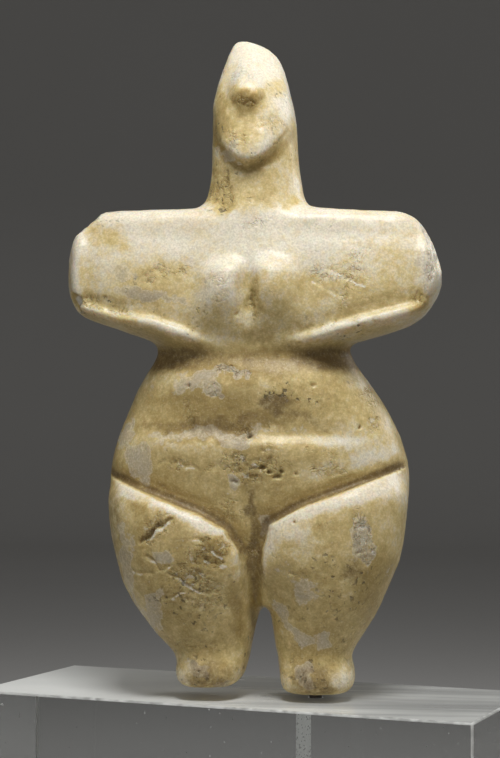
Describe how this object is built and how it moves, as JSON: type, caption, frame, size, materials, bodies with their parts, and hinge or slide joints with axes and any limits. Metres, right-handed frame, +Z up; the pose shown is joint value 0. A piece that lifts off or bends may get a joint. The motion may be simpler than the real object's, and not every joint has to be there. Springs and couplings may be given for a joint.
{
  "type": "marble figurine on a stand",
  "caption": "Small carved marble idol of a standing woman with folded arms and wide hips, held by a metal pin on a clear acrylic block.",
  "frame": {"origin": "centre of the underside of the clear block", "axes": "+Z up, from the block to the top of the head; the figure faces -Y, and +X is at the right of someone who looks at its face"},
  "size_m": [0.133, 0.0838, 0.1966],
  "materials": {
    "marble": "satin",
    "dark_metal": "satin",
    "clear_acrylic": "gloss"
  },
  "bodies": {
    "root": {"marble_figurine": "marble", "mounting_pin": "dark_metal", "acrylic_block": "clear_acrylic"}
  },
  "joints": []
}
